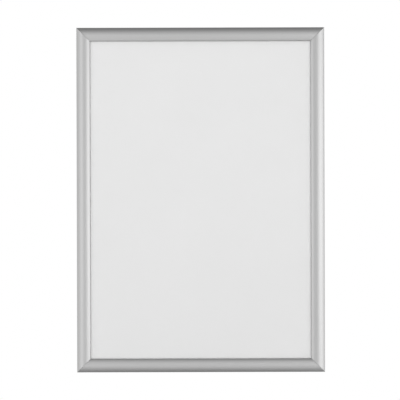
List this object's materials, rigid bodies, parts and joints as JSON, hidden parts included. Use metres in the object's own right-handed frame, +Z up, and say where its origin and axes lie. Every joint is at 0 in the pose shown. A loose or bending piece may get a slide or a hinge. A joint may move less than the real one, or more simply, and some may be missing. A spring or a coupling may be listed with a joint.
{
  "type": "outdoor poster snap frame",
  "caption": "Wall-mounted outdoor display frame with mitred aluminium snap covers that hinge open to change the poster.",
  "frame": {"origin": "centre of the frame's back, in the plane of the wall", "axes": "+Z up along the portrait frame's long side, -Y out from the wall towards the viewer, +Y into the wall, +X to the viewer's right"},
  "size_m": [0.446, 0.0127, 0.62],
  "materials": {
    "rail_aluminium": "satin silver anodised",
    "cover_aluminium": "satin silver anodised",
    "seal_rubber": "matte black",
    "spring_steel": "bright rolled strip",
    "key_steel": "zinc plated",
    "screw_steel": "black oxide",
    "back_board": "matte",
    "blank_paper": "matte, blank",
    "clear_plastic": "clear, anti-glare"
  },
  "bodies": {
    "base": {"base_rail_top": "rail_aluminium", "base_rail_bottom": "rail_aluminium", "base_rail_left": "rail_aluminium", "base_rail_right": "rail_aluminium", "leaf_spring_top_1": "spring_steel", "leaf_spring_top_2": "spring_steel", "leaf_spring_bottom_1": "spring_steel", "leaf_spring_bottom_2": "spring_steel", "leaf_spring_left_1": "spring_steel", "leaf_spring_left_2": "spring_steel", "leaf_spring_left_3": "spring_steel", "leaf_spring_right_1": "spring_steel", "leaf_spring_right_2": "spring_steel", "leaf_spring_right_3": "spring_steel", "corner_key_top_left": "key_steel", "corner_key_top_right": "key_steel", "corner_key_bottom_left": "key_steel", "corner_key_bottom_right": "key_steel", "key_screw_top_left_1": "screw_steel", "key_screw_top_left_2": "screw_steel", "key_screw_top_right_1": "screw_steel", "key_screw_top_right_2": "screw_steel", "key_screw_bottom_left_1": "screw_steel", "key_screw_bottom_left_2": "screw_steel", "key_screw_bottom_right_1": "screw_steel", "key_screw_bottom_right_2": "screw_steel", "back_panel": "back_board", "poster_sheet": "blank_paper", "clear_cover_sheet": "clear_plastic"},
    "cover_top": {"snap_cover_top": "cover_aluminium", "cover_seal_top": "seal_rubber"},
    "cover_bottom": {"snap_cover_bottom": "cover_aluminium", "cover_seal_bottom": "seal_rubber"},
    "cover_left": {"snap_cover_left": "cover_aluminium", "cover_seal_left": "seal_rubber"},
    "cover_right": {"snap_cover_right": "cover_aluminium", "cover_seal_right": "seal_rubber"}
  },
  "joints": [
    {"name": "cover_top_hinge", "type": "hinge", "parent": "base", "child": "cover_top", "pos_m": [0, -0.00725, 0.30745], "axis": [-1, 0, 0], "range_deg": [0, 100], "deforming": ["leaf_spring_top_1", "leaf_spring_top_2"]},
    {"name": "cover_bottom_hinge", "type": "hinge", "parent": "base", "child": "cover_bottom", "pos_m": [0, -0.00725, -0.30745], "axis": [1, 0, 0], "range_deg": [0, 100], "deforming": ["leaf_spring_bottom_1", "leaf_spring_bottom_2"]},
    {"name": "cover_left_hinge", "type": "hinge", "parent": "base", "child": "cover_left", "pos_m": [-0.22045, -0.00725, 0], "axis": [0, 0, -1], "range_deg": [0, 100], "deforming": ["leaf_spring_left_1", "leaf_spring_left_2", "leaf_spring_left_3"]},
    {"name": "cover_right_hinge", "type": "hinge", "parent": "base", "child": "cover_right", "pos_m": [0.22045, -0.00725, 0], "axis": [0, 0, 1], "range_deg": [0, 100], "deforming": ["leaf_spring_right_1", "leaf_spring_right_2", "leaf_spring_right_3"]}
  ]
}
